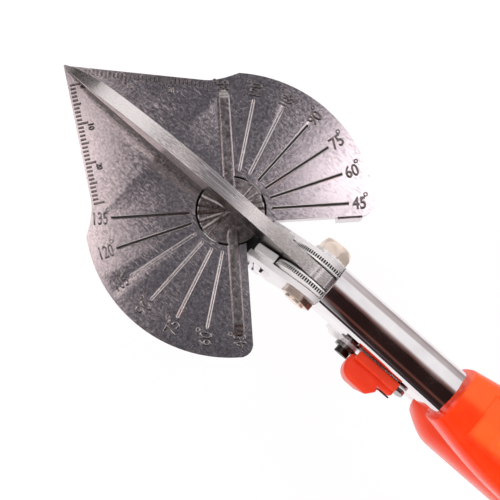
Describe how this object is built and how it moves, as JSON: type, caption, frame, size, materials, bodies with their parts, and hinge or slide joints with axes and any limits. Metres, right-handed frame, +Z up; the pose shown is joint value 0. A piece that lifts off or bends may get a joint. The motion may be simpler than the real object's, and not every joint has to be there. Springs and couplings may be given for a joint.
{
  "type": "mitre shears",
  "caption": "Mitre shears: a pointed blade closes on a fan-shaped angle plate with a turning fence, on steel channel arms with orange grips and a side latch.",
  "frame": {"origin": "on the flat underside of the jaw, straight below the centre of the turntable", "axes": "+X forward along the blade line to the plate's tip, +Y to the left of the user who holds the grips, +Z up, square to the angle plate"},
  "size_m": [0.2443, 0.069, 0.0406],
  "materials": {
    "plate_casting": "tumbled die casting, satin with fine scratches",
    "blade_steel": "ground along the edge, satin",
    "chrome_steel": "bright nickel-chrome plate",
    "plain_steel": "bright zinc plate",
    "jaw_black": "black enamel on a die casting",
    "grip_orange": "moulded, glossy",
    "latch_red": "moulded, satin",
    "bush_brass": "turned"
  },
  "bodies": {
    "anvil_arm": {"upper_arm": "chrome_steel", "upper_grip": "grip_orange", "jaw_block": "jaw_black", "angle_plate": "plate_casting", "plate_screws": "plain_steel", "jaw_rivets": "plain_steel", "pivot_bolt": "chrome_steel", "pivot_washer": "plain_steel", "pivot_nut": "chrome_steel", "catch_pin": "plain_steel", "upper_spring_stud": "plain_steel", "return_spring": "plain_steel", "fence_cone_spring": "plain_steel", "fence_hold_pins": "plain_steel"},
    "fence": {"angle_fence": "plate_casting"},
    "blade_arm": {"blade": "blade_steel", "left_knurled_disc": "plain_steel", "right_knurled_disc": "plain_steel", "pivot_bush": "bush_brass", "lower_arm": "chrome_steel", "tang_packing": "plain_steel", "tang_rivets": "plain_steel", "lower_grip": "grip_orange", "lower_spring_stud": "plain_steel", "latch_screw": "chrome_steel"},
    "latch": {"latch_hook": "plain_steel", "latch_lever": "latch_red", "latch_leaf": "chrome_steel", "latch_rivets": "plain_steel"}
  },
  "joints": [
    {"name": "blade_hinge", "type": "hinge", "parent": "anvil_arm", "child": "blade_arm", "pos_m": [-0.0249, 0, 0.0293], "axis": [0, -1, 0], "range_deg": [0, 32], "deforming": ["return_spring"]},
    {"name": "fence_turn", "type": "hinge", "parent": "anvil_arm", "child": "fence", "pos_m": [0, 0, 0.024], "axis": [0, 0, -1], "range_deg": [0, 90]},
    {"name": "latch_turn", "type": "hinge", "parent": "blade_arm", "child": "latch", "pos_m": [-0.0423, 0.006, 0.0175], "axis": [0, 1, 0], "range_deg": [0, 24]}
  ]
}
